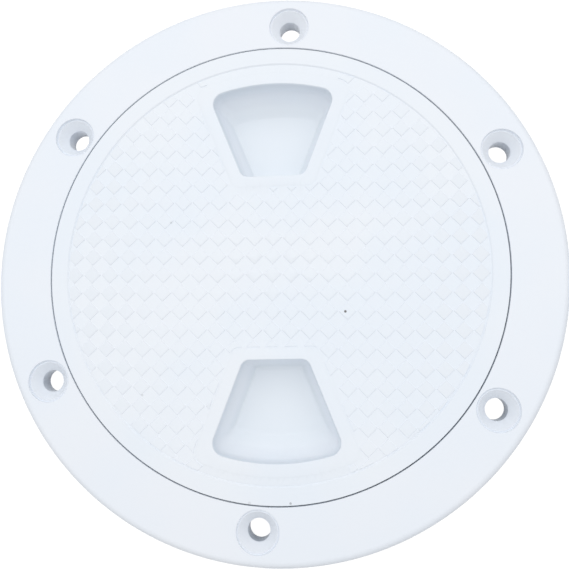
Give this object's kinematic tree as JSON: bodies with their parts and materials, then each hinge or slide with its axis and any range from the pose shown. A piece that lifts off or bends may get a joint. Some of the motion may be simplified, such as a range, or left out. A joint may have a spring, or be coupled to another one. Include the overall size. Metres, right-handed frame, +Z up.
{
  "type": "deck inspection plate",
  "caption": "Round screw-out deck inspection plate: a countersunk flange with a threaded collar, and a flush cover with chequered tread and recesses for the fingers, sealed by a rubber ring.",
  "frame": {"origin": "on the ring's axis, in the plane of the flange's underside, which lies on the deck", "axes": "+Z up out of the deck, along the axis of the thread; +Y towards the recess at the top of the picture"},
  "size_m": [0.14, 0.14, 0.0249],
  "materials": {
    "ring_plastic": "smooth injection-moulded white ABS, satin gloss",
    "cover_plastic": "injection-moulded white ABS with a chequered non-slip relief",
    "seal_rubber": "black nitrile rubber, matt"
  },
  "bodies": {
    "ring": {"deck_ring": "ring_plastic"},
    "lifting_seal": {"seal_ring": "seal_rubber"},
    "cover": {"cover": "cover_plastic"}
  },
  "joints": [
    {"name": "cover_lift", "type": "slide", "parent": "ring", "child": "lifting_seal", "axis": [0, 0, 1], "range_m": [0, 0.01]},
    {"name": "cover_turn", "type": "hinge", "parent": "lifting_seal", "child": "cover", "pos_m": [0, 0, 0], "axis": [0, 0, 1], "range_deg": [0, 450]}
  ],
  "couplings": [
    {"joint": "cover_lift", "follows": "cover_turn", "m_per_rad": 0.0012732}
  ]
}
